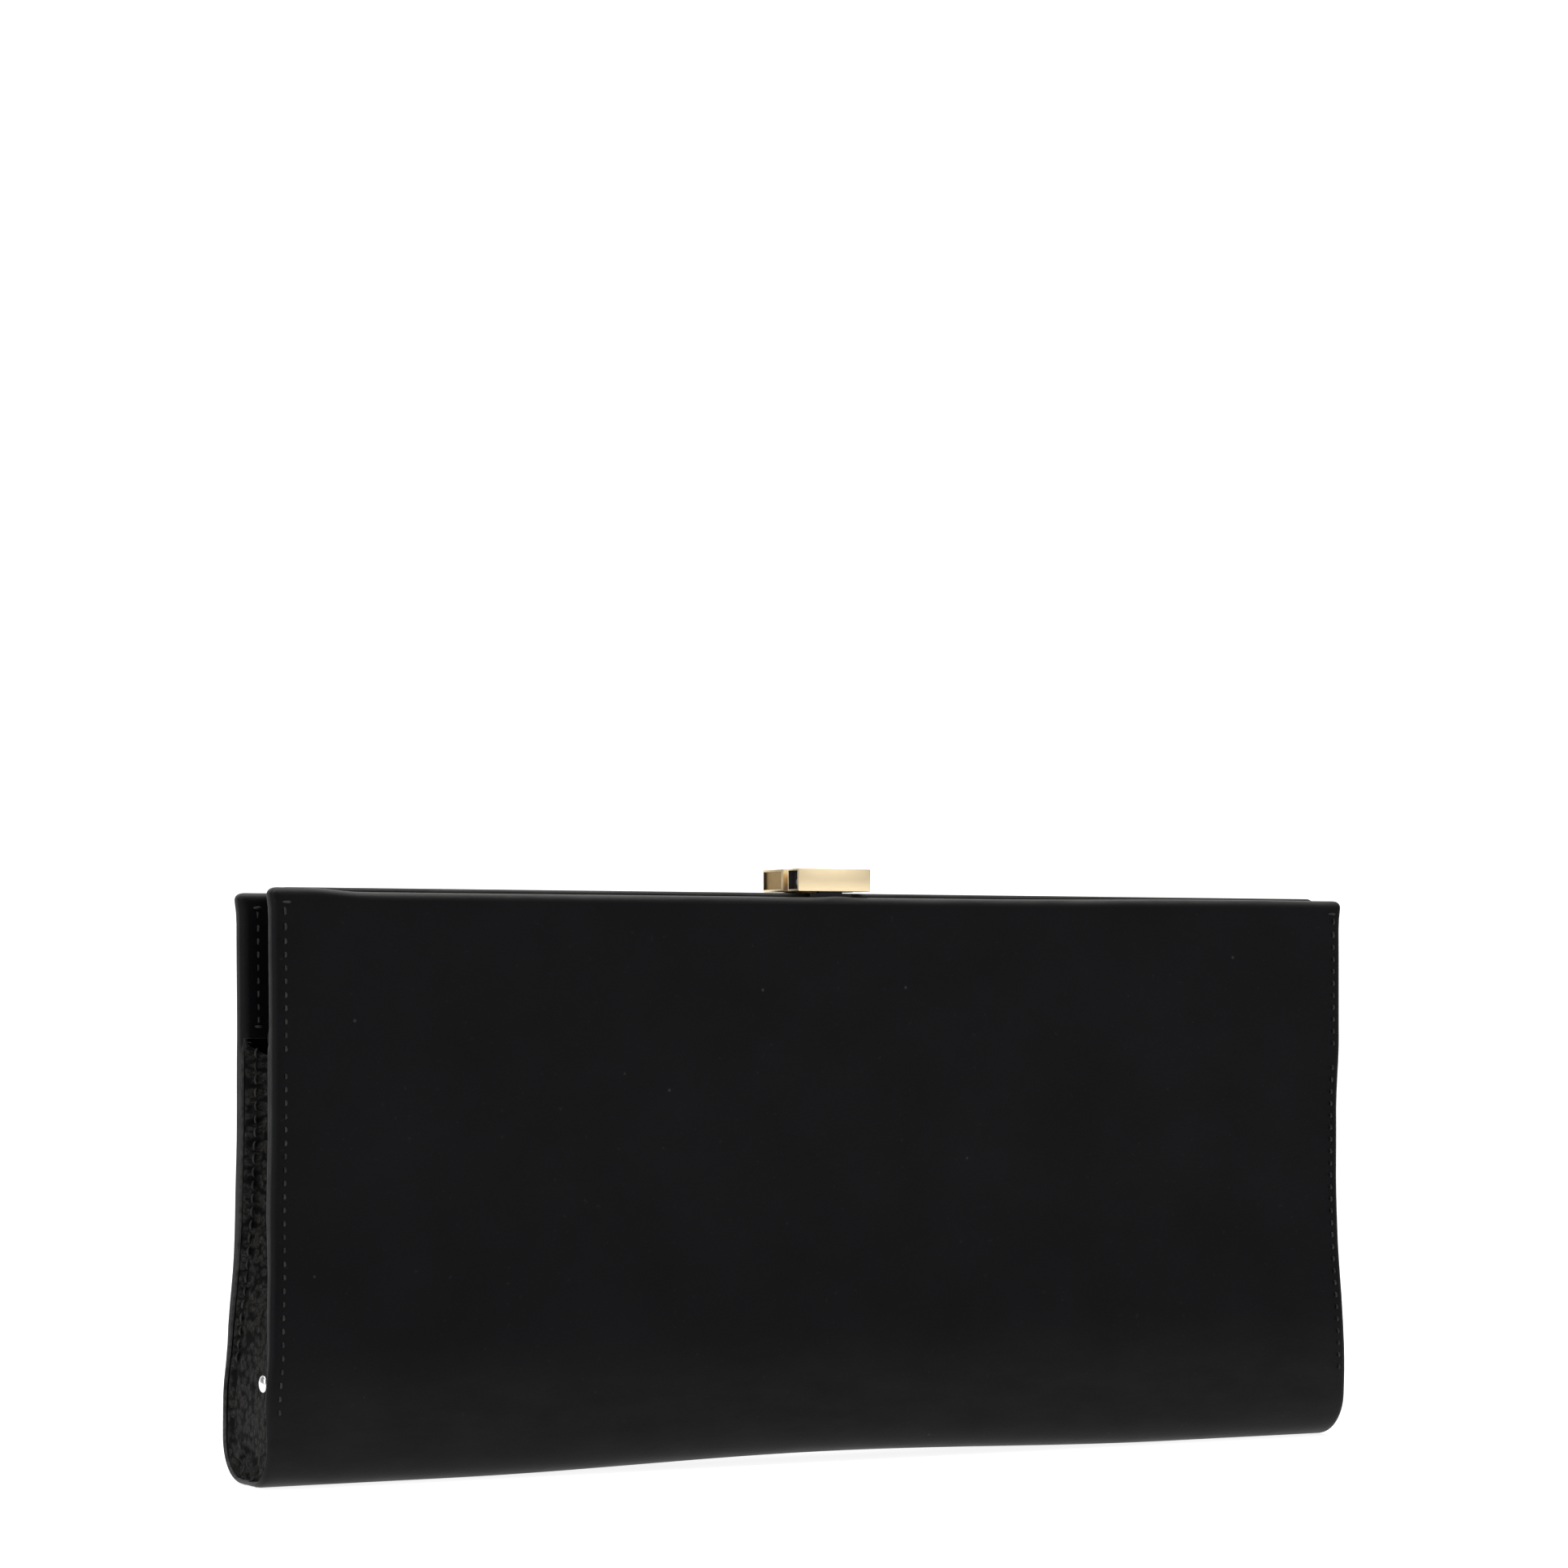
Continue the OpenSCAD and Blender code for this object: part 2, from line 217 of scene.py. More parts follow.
def thicken(piece, thickness, rim=1, thinned=None):
    """Gives a sheet its thickness, inwards. The cut edge takes the next material.
    The vertex attribute thinned holds the missing share of the thickness."""
    solid = piece.modifiers.new("thickness", "SOLIDIFY")
    if thinned:
        group = piece.vertex_groups.new(name="thickness")
        for index, entry in enumerate(piece.data.attributes[thinned].data):
            group.add([index], 1 - entry.value, "REPLACE")
        solid.vertex_group = group.name
    solid.thickness = thickness * MM
    solid.offset = -1
    solid.use_even_offset = True
    solid.use_quality_normals = True
    solid.material_offset_rim = rim
    bake_modifiers(piece)


def round_cut_edges(piece, width, skip=None):
    """Rounds both sides of the cut edge, apart from where skip says."""
    bm = bmesh.new()
    bm.from_mesh(piece.data)
    edges = []
    for edge in bm.edges:
        if len(edge.link_faces) == 2:
            a, b = edge.link_faces
            middle = (edge.verts[0].co + edge.verts[1].co) / 2 / MM
            if a.material_index != b.material_index and not (skip and skip(middle)):
                edges.append(edge)
    bmesh.ops.bevel(bm, geom=edges, offset=width * MM, segments=2, profile=0.5,
                    affect="EDGES", clamp_overlap=True, material=1)
    bm.to_mesh(piece.data)
    bm.free()


def dress(piece, slot, *nodes):
    """Hides the CAD nodes that a piece stands for; piece and slot are not used."""
    if nodes:
        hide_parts(*nodes)


def bend_with(piece):
    """Bakes the piece's placement into its mesh."""
    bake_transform(piece)


# ---------- materials ----------

class Nodes:
    """A material with its shader, and short ways to add nodes to it."""

    def __init__(self, name, colour, roughness, metallic=0.0, specular=0.5):
        self.material = bpy.data.materials.new(name)
        self.material.use_nodes = True
        self.tree = self.material.node_tree
        self.shader = self.tree.nodes["Principled BSDF"]
        self.shader.inputs["Base Color"].default_value = (*colour, 1)
        self.shader.inputs["Roughness"].default_value = roughness
        self.shader.inputs["Metallic"].default_value = metallic
        self.shader.inputs["Specular IOR Level"].default_value = specular
        self.material.diffuse_color = (*colour, 1)

    def add(self, kind, inputs=None, **settings):
        node = self.tree.nodes.new("ShaderNode" + kind)
        for key, value in settings.items():
            setattr(node, key, value)
        for key, value in (inputs or {}).items():
            if isinstance(value, bpy.types.NodeSocket):
                self.tree.links.new(value, node.inputs[key])
            else:
                node.inputs[key].default_value = value
        return node

    def place(self, kind="UV", stretch=(1, 1, 1), turn=0.0):
        where = self.add("TexCoord").outputs[kind]
        mapping = self.add("Mapping", {"Vector": where, "Scale": stretch, "Rotation": (0, 0, turn)})
        return mapping.outputs[0]

    def noise(self, where, size, detail=4.0, roughness=0.55, distortion=0.0):
        """Cloudy noise whose features are about size millimetres."""
        return self.add("TexNoise", {"Vector": where, "Scale": 1 / (size * MM), "Detail": detail,
                                     "Roughness": roughness, "Distortion": distortion}).outputs["Fac"]

    def cells(self, where, size, feature="F1", smoothness=None):
        settings = {"Vector": where, "Scale": 1 / (size * MM)}
        if smoothness is not None:
            settings["Smoothness"] = smoothness
        return self.add("TexVoronoi", settings, feature=feature).outputs["Distance"]

    def remap(self, value, low, high, to_low=0.0, to_high=1.0):
        return self.add("MapRange", {"Value": value, "From Min": low, "From Max": high,
                                     "To Min": to_low, "To Max": to_high}).outputs[0]

    def maths(self, operation, a, b):
        return self.add("Math", {0: a, 1: b}, operation=operation).outputs[0]

    def blend(self, factor, a, b):
        """A colour between a and b, which are colours or sockets."""
        node = self.add("Mix", data_type="RGBA")
        for index, value in ((0, factor), (6, a), (7, b)):
            if isinstance(value, bpy.types.NodeSocket):
                self.tree.links.new(value, node.inputs[index])
            else:
                node.inputs[index].default_value = value if index == 0 else (*value, 1)
        return node.outputs[2]

    def bump(self, height, depth, over=None):
        """A relief of depth millimetres, on top of another one if given."""
        inputs = {"Height": height, "Distance": depth * MM, "Strength": 1.0}
        if over is not None:
            inputs["Normal"] = over
        return self.add("Bump", inputs).outputs[0]

    def finish(self, colour=None, roughness=None, normal=None):
        for key, value in (("Base Color", colour), ("Roughness", roughness), ("Normal", normal)):
            if value is not None:
                self.tree.links.new(value, self.shader.inputs[key])
        return self.material


def smooth_calf(name, tone, roughness, coordinates="UV"):
    """Black calf: a tight pebble grain, a few pale specks and paler, shinier places where its attribute is
    high: worn edges with a painted highlight along the lips, and painted floor light low down.
    """
    m = Nodes(name, tone, roughness, specular=0.075)
    where = m.place(coordinates)
    clouds = m.noise(where, 26, 3)
    streaks = m.noise(m.place(coordinates, (0.35, 1, 1)), 5, 5)
    pores = m.cells(where, 0.55, "SMOOTH_F1", 0.35)
    fine = m.noise(where, 0.22, 3)
    specks = m.remap(m.cells(where, 13), 0.018, 0.036, 1, 0)
    # the attribute holds wear mixed with painted light: a painted highlight along the lips and painted floor
    # light low down
    worn_and_lit = m.add("Attribute", attribute_name="wear_and_light").outputs["Fac"]
    worn_and_lit = m.maths("MULTIPLY", worn_and_lit, m.remap(streaks, 0.35, 0.7, 0.5, 1.0))
    scuffs = m.remap(m.noise(where, 1.6, 3), 0.66, 0.74, 0, 0.4)
    dark = tuple(c * 0.78 for c in tone)
    light = tuple(c * 1.3 for c in tone)
    colour = m.blend(m.remap(clouds, 0.3, 0.7), dark, light)
    colour = m.blend(scuffs, colour, (0.014, 0.014, 0.0145))
    colour = m.blend(m.maths("MULTIPLY", specks, 0.5), colour, (0.045, 0.045, 0.048))
    # painted highlight and painted floor light, with real wear: pale colour where the attribute is high
    colour = m.blend(m.maths("MULTIPLY", worn_and_lit, 0.8), colour, (0.085, 0.085, 0.08))
    rough = m.remap(streaks, 0.3, 0.75, roughness - 0.05, roughness + 0.07)
    rough = m.maths("SUBTRACT", rough, m.maths("MULTIPLY", worn_and_lit, 0.08))
    relief = m.bump(pores, 0.022)
    relief = m.bump(fine, 0.012, relief)
    relief = m.bump(clouds, 0.35, relief)
    return m.finish(colour, rough, relief)


def painted_edge(name, coordinates="Object"):
    """Edge paint on cut leather: dull, a little lumpy, paler than the grain side."""
    m = Nodes(name, (0.034, 0.034, 0.034), 0.5, specular=0.2)
    where = m.place(coordinates)
    lumps = m.noise(where, 1.4, 3)
    colour = m.blend(m.remap(lumps, 0.3, 0.7), (0.030, 0.030, 0.030), (0.085, 0.083, 0.080))
    rough = m.remap(lumps, 0.3, 0.7, 0.42, 0.6)
    return m.finish(colour, rough, m.bump(lumps, 0.12))


def rough_leather(name):
    """The gussets' leather: open, fibrous and dusty, darker in its creases."""
    m = Nodes(name, (0.009, 0.0085, 0.0078), 0.72, specular=0.08)
    where = m.place("UV")
    fibres = m.noise(m.place("UV", (1, 0.7, 1), 0.5), 0.55, 6, 0.75, 1.0)
    pebbles = m.cells(where, 1.5, "SMOOTH_F1", 0.25)
    clouds = m.noise(where, 4.5, 4)
    low, high = (0.0016, 0.0016, 0.0016), (0.046, 0.044, 0.041)
    colour = m.blend(m.remap(fibres, 0.40, 0.64), low, high)
    colour = m.blend(m.remap(pebbles, 0.42, 0.7), colour, (0.0014, 0.0014, 0.0014))
    colour = m.blend(m.remap(clouds, 0.48, 0.75, 0, 0.5), colour, (0.0045, 0.0044, 0.0043))
    relief = m.bump(pebbles, 0.34)
    relief = m.bump(fibres, 0.26, relief)
    return m.finish(colour, m.remap(fibres, 0.3, 0.7, 0.62, 0.82), relief)


def waxed_thread():
    """Black thread: two plies twisted together, with a slight wax sheen."""
    m = Nodes("waxed_thread", (0.016, 0.016, 0.016), 0.5, specular=0.2)
    where = m.place("Object")
    plies = m.add("TexWave", {"Vector": where, "Scale": 330.0, "Distortion": 1.5},
                  bands_direction="DIAGONAL").outputs["Fac"]
    shades = m.noise(where, 3.1, 2)
    colour = m.blend(m.remap(shades, 0.38, 0.62), (0.010, 0.010, 0.010), (0.026, 0.0255, 0.025))
    return m.finish(colour, m.remap(plies, 0, 1, 0.4, 0.6), m.bump(plies, 0.06))


def plated(name, colour, deep, roughness, brushing=(1, 12, 12), cloudy=0.45):
    """Plated metal: fine lengthwise brushing, hairline scratches and deeper clouds."""
    m = Nodes(name, colour, roughness, metallic=1.0)
    lines = m.noise(m.place("Object", brushing), 2.4, 5, 0.6)
    clouds = m.noise(m.place("Object"), 3.5, 3)
    scratches = m.noise(m.place("Object", (0.25, 9, 9), 0.3), 0.8, 2)
    tone = m.blend(m.remap(clouds, 0.35, 0.7, 0, cloudy), colour, deep)
    rough = m.remap(lines, 0.3, 0.7, roughness - 0.05, roughness + 0.06)
    relief = m.bump(lines, 0.006)
    relief = m.bump(m.remap(scratches, 0.62, 0.66), 0.003, relief)
    return m.finish(tone, rough, relief)


def twill(name):
    """Twill lining: fine diagonal ribs of a fine thread."""
    m = Nodes(name, (0.024, 0.022, 0.026), 0.68, specular=0.2)
    m.shader.inputs["Sheen Weight"].default_value = 0.25
    m.shader.inputs["Sheen Roughness"].default_value = 0.45
    where = m.place("UV")
    ribs = m.add("TexWave", {"Vector": where, "Scale": 420.0, "Distortion": 0.6, "Detail": 1.0},
                 bands_direction="DIAGONAL").outputs["Fac"]
    threads = m.add("TexWave", {"Vector": where, "Scale": 760.0, "Distortion": 0.4},
                    bands_direction="X").outputs["Fac"]
    shades = m.noise(where, 14, 3)
    colour = m.blend(ribs, (0.013, 0.012, 0.015), (0.036, 0.033, 0.039))
    colour = m.blend(m.remap(shades, 0.35, 0.7, 0, 0.35), colour, (0.017, 0.016, 0.019))
    relief = m.bump(ribs, 0.09)
    relief = m.bump(threads, 0.04, relief)
    return m.finish(colour, m.remap(threads, 0, 1, 0.6, 0.76), relief)


def fibre_board(name):
    """Pressed fibre board: grey-brown, with long pale and dark fibres."""
    m = Nodes(name, (0.40, 0.37, 0.33), 0.85, specular=0.25)
    fibres = m.noise(m.place("Object", (0.25, 1, 1)), 1.6, 7, 0.7, 0.6)
    clouds = m.noise(m.place("Object"), 18, 3)
    colour = m.blend(m.remap(fibres, 0.3, 0.72), (0.29, 0.26, 0.22), (0.49, 0.455, 0.40))
    colour = m.blend(m.remap(clouds, 0.4, 0.7, 0, 0.4), colour, (0.36, 0.33, 0.29))
    return m.finish(colour, m.remap(fibres, 0.3, 0.7, 0.76, 0.92), m.bump(fibres, 0.1))


calf = smooth_calf("black_calf", (0.0030, 0.0030, 0.0037), 0.44)
frame_calf = smooth_calf("frame_calf", (0.0040, 0.0040, 0.0045), 0.42, "Object")
facing_calf = smooth_calf("facing_calf", (0.0046, 0.0046, 0.0050), 0.5, "Object")
edge_paint = painted_edge("edge_paint")
gusset_hide = rough_leather("gusset_hide")
thread = waxed_thread()
gold = plated("pale_gold", (0.93, 0.76, 0.49), (0.86, 0.68, 0.42), 0.36, cloudy=0.2)
# painted shade: a darker brown copy of the gold, for the rear block's recessed end faces
shaded_gold = plated("shaded_gold", (0.44, 0.29, 0.12), (0.26, 0.17, 0.07), 0.35)
# painted shade: a dark copy of the metal for the bar's hollow ends and the walls of the block's recesses
shaded_inside = plated("shaded_inside", (0.17, 0.16, 0.155), (0.05, 0.047, 0.045), 0.45)
# painted shade: dark steel for the frame, the clasp's plate and the hinge pins, which sit in shadow
shadow_steel = plated("shadow_dark_steel", (0.040, 0.040, 0.042), (0.022, 0.022, 0.023), 0.45)
nickel = plated("nickel_steel", (0.60, 0.61, 0.63), (0.50, 0.50, 0.51), 0.32)
bright_nickel = plated("bright_nickel", (0.86, 0.86, 0.87), (0.76, 0.76, 0.77), 0.2, (1, 1, 1))
lining_cloth = twill("twill_lining")
board = fibre_board("fibre_board")


# ---------- the leather ----------

def section_depth(z):
    """Half the depth of the body over its outer face, above the round bottom."""
    return along(z, [(BULGE_Z, BULGE), (WAIST_Z, TOP_OUT)])


def section_rows(start):
    """(depth, height, inward direction) from the bottom up to the wrapped ends."""
    foot = BULGE - CORNER_R
    rows = [(d, 0.0, (0.0, 1.0)) for d in spread(start, foot, 2)]
    for angle in spread(-90, 0, 7.5)[1:]:
        c, s = math.cos(math.radians(angle)), math.sin(math.radians(angle))
        rows.append((foot + CORNER_R * c, CORNER_R * (1 + s), (-c, -s)))
    heights = join_runs(spread(CORNER_R, BULGE_Z, 3), spread(BULGE_Z, 88, 4), spread(88, WRAP_LOW, 1))
    rows += [(section_depth(z), z, (-1.0, 0.0)) for z in heights[1:]]
    return rows


def arch(x, z):
    """How far the bottom rises between the ends, where the purse doesn't touch the table."""
    if abs(x) >= ARCH_HALF:
        return 0.0
    return ARCH_RISE * math.cos(math.pi / 2 * x / ARCH_HALF) ** 2 * (1 - smooth(z / 24))


def outline_x(x, z):
    """Where a place along the purse lies at a height: the ends flare and the foot leans."""
    return x + math.copysign(1, x) * along(z, FLARE) * smooth((abs(x) - 90) / 45) - along(z, LEAN)


def settle(x, depth, z, inward, inset=0.0):
    """A point of the body's section, moved inwards by inset, with the outline, some slack and the arch."""
    slack = 0.16 * noise.noise(Vector((x / 46, z / 34, depth))) * smooth((WRAP_LOW - z) / 12)
    moved = inset + slack * smooth((z - 12) / 20)
    return outline_x(x, z), depth + inward[0] * moved, z + inward[1] * inset + arch(x, z)


def turn_end(out, inward):
    """Rounds the corner of face and end, from which the point is inward and out away."""
    if out >= EDGE_R or inward >= EDGE_R:
        return out, inward
    away = Vector((out - EDGE_R, inward - EDGE_R)).normalized() * EDGE_R
    return EDGE_R + away.x, EDGE_R + away.y


def lip_rise(x, z, sign):
    """How far the lips stand above the CAD panels. The front one dips at the clasp and at its left end."""
    if sign > 0:
        rise = 0.3 + 0.62 * smooth((abs(x) - 10.5) / 4) * smooth((x + 134) / 20)
    else:
        rise = 0.3 + 0.9 * smooth((-x - 118) / 14) + 0.5 * smooth((x - 40) / 70)
    return rise * smooth((z - 120) / 9)


def round_top(x, depth, z, sign):
    """Puts a point of the sharp turned top onto the same box with round edges."""
    core = Vector((clamp(x, EDGE_R - HALF, HALF - EDGE_R),
                   clamp(depth, TOP_IN + EDGE_R, TOP_OUT - EDGE_R), min(z, TOP - EDGE_R)))
    away = Vector((x, depth, z)) - core
    point = core + away.normalized() * EDGE_R if away.length > 1e-6 else Vector((x, depth, z))
    pucker = 0.5 * math.exp(-(x / 4.5) ** 2) * smooth((z - 127) / 3) * smooth((depth - 9) / 3)
    return Vector((outline_x(point.x, z), point.y, point.z + pucker + lip_rise(x, z, sign)))


def wear_and_light_of(x, z, sign):
    """How worn and lit the leather is painted, from 0 to 1: most along the lips, where wear carries a painted
    highlight, a little low down as painted floor light, and at the low corners as wear.
    """
    # worn lips, with a painted highlight where the overhead light catches them
    top = smooth((z - lip_rise(x, z, sign) - (TOP - 1.7)) / 1.8)
    low = 0.25 * smooth((5 - z) / 5) * smooth((abs(x) - 120) / 18)
    # painted floor light: paler towards the bottom
    painted_floor_light = 0.1 * smooth((34 - z) / 24)
    return max(top, low, painted_floor_light)


edge_steps = [EDGE_R * t for t in (0, 0.28, 0.53, 0.77, 1)]
COLUMNS = both_ways(join_runs(
    spread(0, NOTCH_HALF, 1.5), spread(NOTCH_HALF, 12, 1.5), spread(12, 120, 4), spread(120, DEEP_TURN, 1.6),
    spread(DEEP_TURN, HALF - EDGE_R, 1.3), [HALF - EDGE_R + s for s in edge_steps]))
TOP_ROWS = join_runs(spread(WRAP_LOW, TURN_LOW, 2), spread(TURN_LOW, TOP - EDGE_R, 2.6),
                     [TOP - EDGE_R + s for s in edge_steps])
DEPTHS = join_runs([TOP_IN + EDGE_R - s for s in reversed(edge_steps)], [(TOP_IN + TOP_OUT) / 2],
                   [TOP_OUT - EDGE_R + s for s in edge_steps])
NOTCH_DEPTH = TOP_IN + EDGE_R


def leather_half(side):
    """The outer leather of one side: bottom, face, turned top with wrapped ends, and inner turn."""
    sign = SIDES[side]
    rows = section_rows(sign * SPLIT)
    run = [0.0]
    for (d0, z0, _), (d1, z1, _) in zip(rows, rows[1:]):
        run.append(run[-1] + math.hypot(d1 - d0, z1 - z0))
    top_run = run[-1] + TOP - WRAP_LOW

    def low_point(x, top_depth, j):
        depth, z, inward = rows[j]
        turned = (TOP_OUT - top_depth) / (TOP_OUT - TOP_IN) * along(z, RETURN)
        out, inset = turn_end(HALF - abs(x), turned)
        low = Vector(settle(math.copysign(HALF - out, x), depth, z, inward, inset))
        point = low.lerp(round_top(x, top_depth, z, sign), smooth((z - WRAP_LOW) / 3 + 1))
        return Vector((point.x, sign * point.y, point.z))

    def top_point(x, depth, z):
        p = round_top(x, depth, z, sign)
        return Vector((p.x, sign * p.y, p.z))

    def outside_notch(x0, x1):
        return abs(x0 + x1) / 2 > NOTCH_HALF

    bm = bmesh.new()
    skive = bm.verts.layers.float.new("skive")
    patch(bm, COLUMNS, range(len(rows)), lambda x, j: low_point(x, TOP_OUT, j), lambda x, j: (x, run[j]))
    patch(bm, COLUMNS, TOP_ROWS, lambda x, z: top_point(x, TOP_OUT, z),
          lambda x, z: (x, run[-1] + z - WRAP_LOW))
    patch(bm, COLUMNS, DEPTHS, lambda x, d: top_point(x, d, TOP), lambda x, d: (x, top_run + TOP_OUT - d),
          lambda x0, x1, d0, d1: outside_notch(x0, x1) or (d0 + d1) / 2 > NOTCH_DEPTH)
    patch(bm, COLUMNS, TOP_ROWS, lambda x, z: top_point(x, TOP_IN, z),
          lambda x, z: (x, top_run + TOP_OUT - TOP_IN + TOP - z),
          lambda x0, x1, z0, z1: (abs(x0 + x1) / 2 > DEEP_TURN
                                  or (z0 + z1) / 2 > TURN_LOW and outside_notch(x0, x1)))
    for end in (-HALF, HALF):
        patch(bm, DEPTHS, TOP_ROWS, lambda d, z: top_point(end, d, z),
              lambda d, z: (end + math.copysign(TOP_OUT - d, end), run[-1] + z - WRAP_LOW))
        grid = patch(bm, DEPTHS, range(len(rows)), lambda d, j: low_point(end, d, j),
                     lambda d, j: (end + math.copysign(TOP_OUT - d, end), run[j]))
        for depth, column in zip(DEPTHS, grid):
            edge_share = (TOP_OUT - depth) / (TOP_OUT - TOP_IN)
            for vertex, row in zip(column, rows):
                vertex[skive] = SKIVED * smooth((edge_share - 0.4) / 0.6) * smooth((WRAP_LOW - row[1]) / 3)
    tidy_sheet(bm, Vector((0, sign, -0.1)))
    face = min(bm.faces, key=lambda f: abs(f.calc_center_median().x) + abs(f.calc_center_median().z - 60))
    if face.normal.y * sign < 0:
        bmesh.ops.reverse_faces(bm, faces=bm.faces)
    # wear, with a painted highlight on the lips and painted floor light low down
    wear_and_light = bm.verts.layers.float.new("wear_and_light")
    for v in bm.verts:
        v[wear_and_light] = wear_and_light_of(v.co.x, v.co.z, sign)
    piece = mesh_object(side + "_leather", bm, (calf, edge_paint))
    thicken(piece, LEATHER_T, thinned="skive")
    round_cut_edges(piece, 0.3, lambda p: p.z < 4 and abs(p.y - SPLIT) < 0.3)
    shade(piece)
    bend_with(piece)
    return piece


front_leather = leather_half("front")
rear_leather = leather_half("rear")
dress(front_leather, "outer_leather", "outer_leather", "front_panel_top")
dress(rear_leather, "outer_leather", "rear_panel_top")


# ---------- solid strips: frame covers, facings, boards ----------

def slab(name, outline, side, inner, outer, round_by, materials, hollow=0.0, open_below=None):
    """An (X, Z) outline given a depth and round edges. A hollow one is open under open_below."""
    sign = SIDES[side]
    bm = bmesh.new()
    face = bm.faces.new([bm.verts.new((x, sign * inner, z)) for x, z in outline])
    grown = bmesh.ops.extrude_face_region(bm, geom=[face])
    moved = [g for g in grown["geom"] if isinstance(g, bmesh.types.BMVert)]
    bmesh.ops.translate(bm, verts=moved, vec=(0, sign * (outer - inner), 0))
    bmesh.ops.recalc_face_normals(bm, faces=bm.faces)
    sharp = [e for e in bm.edges if e.calc_face_angle(0) > math.radians(35)]
    bmesh.ops.bevel(bm, geom=sharp, offset=round_by, segments=3, profile=0.5,
                    affect="EDGES", clamp_overlap=True)
    if open_below is not None:
        bm.normal_update()
        bottoms = [f for f in bm.faces if f.normal.z < -0.3 and f.calc_center_median().z < open_below]
        bmesh.ops.delete(bm, geom=bottoms, context="FACES")
    # painted highlight with wear along the top 1.2 mm of the strip
    wear_and_light = bm.verts.layers.float.new("wear_and_light")
    highest = max(z for _, z in outline)
    for v in bm.verts:
        v[wear_and_light] = 0.9 * smooth((v.co.z - highest + 1.2) / 1.0)
    piece = mesh_object(name, bm, materials)
    if hollow:
        thicken(piece, hollow)
    shade(piece)
    return piece


def corner_arc(x, z, radius, start):
    """The points of a round outer corner whose sharp point is (x, z), through 90 degrees."""
    signs = {0: (-1, -1), 90: (1, -1)}[start]
    centre = (x + signs[0] * radius, z + signs[1] * radius)
    return [(centre[0] + radius * math.cos(math.radians(a)), centre[1] + radius * math.sin(math.radians(a)))
            for a in spread(start, start + 90, 15)]


def frame_cover(side, low, high, arm_inner):
    """The leather around one half of the frame: a long top and two arms."""
    half = high.x
    bar_bottom = high.z - 11.6
    outline = [(-half, low.z), (-arm_inner, low.z), (-arm_inner, bar_bottom), (arm_inner, bar_bottom),
               (arm_inner, low.z), (half, low.z)]
    outline += corner_arc(half, high.z, 2.2, 0) + corner_arc(-half, high.z, 2.2, 90)
    depths = sorted((abs(low.y), abs(high.y)))
    piece = slab(side + "_cover", outline, side, depths[0], depths[1], 1.0, (frame_calf, edge_paint),
                 hollow=COVER_T, open_below=bar_bottom + 1.3)
    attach(piece, side + "_half")
    return piece


front_cover = frame_cover("front", cover_low, cover_high, front_steel_high.x - 2.4 - COVER_T)
rear_cover = frame_cover("rear", rear_cover_low, rear_cover_high, rear_steel_high.x - 2.4 - COVER_T)
dress(front_cover, "frame_leather", "front_frame_cover")
dress(rear_cover, "frame_leather", "rear_frame_cover")


def facing_strip(side):
    """The strip that joins the turned top to the frame, with room for the clasp's plate."""
    half, low, high = facing_high.x, facing_low.z, facing_high.z
    gap, gap_low = NOTCH_HALF - 0.3, bracket_low.z - 0.2
    outline = [(-half, low), (half, low), (half, high), (gap, high), (gap, gap_low), (-gap, gap_low),
               (-gap, high), (-half, high)]
    piece = slab(side + "_facing_strip", outline, side, -facing_high.y, -facing_low.y, 0.35,
                 (facing_calf, edge_paint))
    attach(piece, side + "_half")
    return piece


front_strip = facing_strip("front")
rear_strip = facing_strip("rear")
dress(front_strip, "facing_leather", "front_facing")
dress(rear_strip, "facing_leather", "rear_facing")


def bottom_board():
    """The stiffener under the lining, bent with the bottom's arch."""
    bm = bmesh.new()
    patch(bm, spread(-board_high.x, board_high.x, 5), spread(board_low.y, board_high.y, 1.5),
          lambda x, y: Vector((x, y, board_high.z - 0.02 + arch(x, 0))), lambda x, y: (x, y))
    tidy_sheet(bm, Vector((0, 0, 1)))
    piece = mesh_object("bottom_board", bm, (board,))
    thicken(piece, board_high.z - board_low.z - 0.03, 0)
    shade(piece)
    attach(piece, "pouch")
    return piece


dress(bottom_board(), "board", "base_board")


# ---------- gussets ----------

def gusset_outline():
    """(half width, height) of a gusset, whose edge lies under the turned-in leather."""
    points = []
    for depth, z, inward in section_rows(0.0):
        under = max(along(z, RETURN) - TUCK, 1.0)
        _, width, height = settle(HALF, depth, z, inward, under)
        points.append((width, height))
    return points


GUSSET_OUTLINE = gusset_outline()
GUSSET_LOW = GUSSET_OUTLINE[0][1]
GUSSET_TOP = HINGE_Z - 0.8
FOLD_TOP = HINGE_Z - 3.7
FOLD_DEPTH = [(GUSSET_LOW, 0.5), (12, 1.1), (26, 2.0), (46, 5.2), (64, 9.0), (84, 10.8)]


def gusset_width(z):
    """How far the gusset reaches to each side at a height, up to the leather's inside."""
    for (d0, z0), (d1, z1) in zip(GUSSET_OUTLINE, GUSSET_OUTLINE[1:]):
        if z0 <= z <= z1 and z1 > z0:
            return d0 + (d1 - d0) * (z - z0) / (z1 - z0)
    return GUSSET_OUTLINE[-1][0]


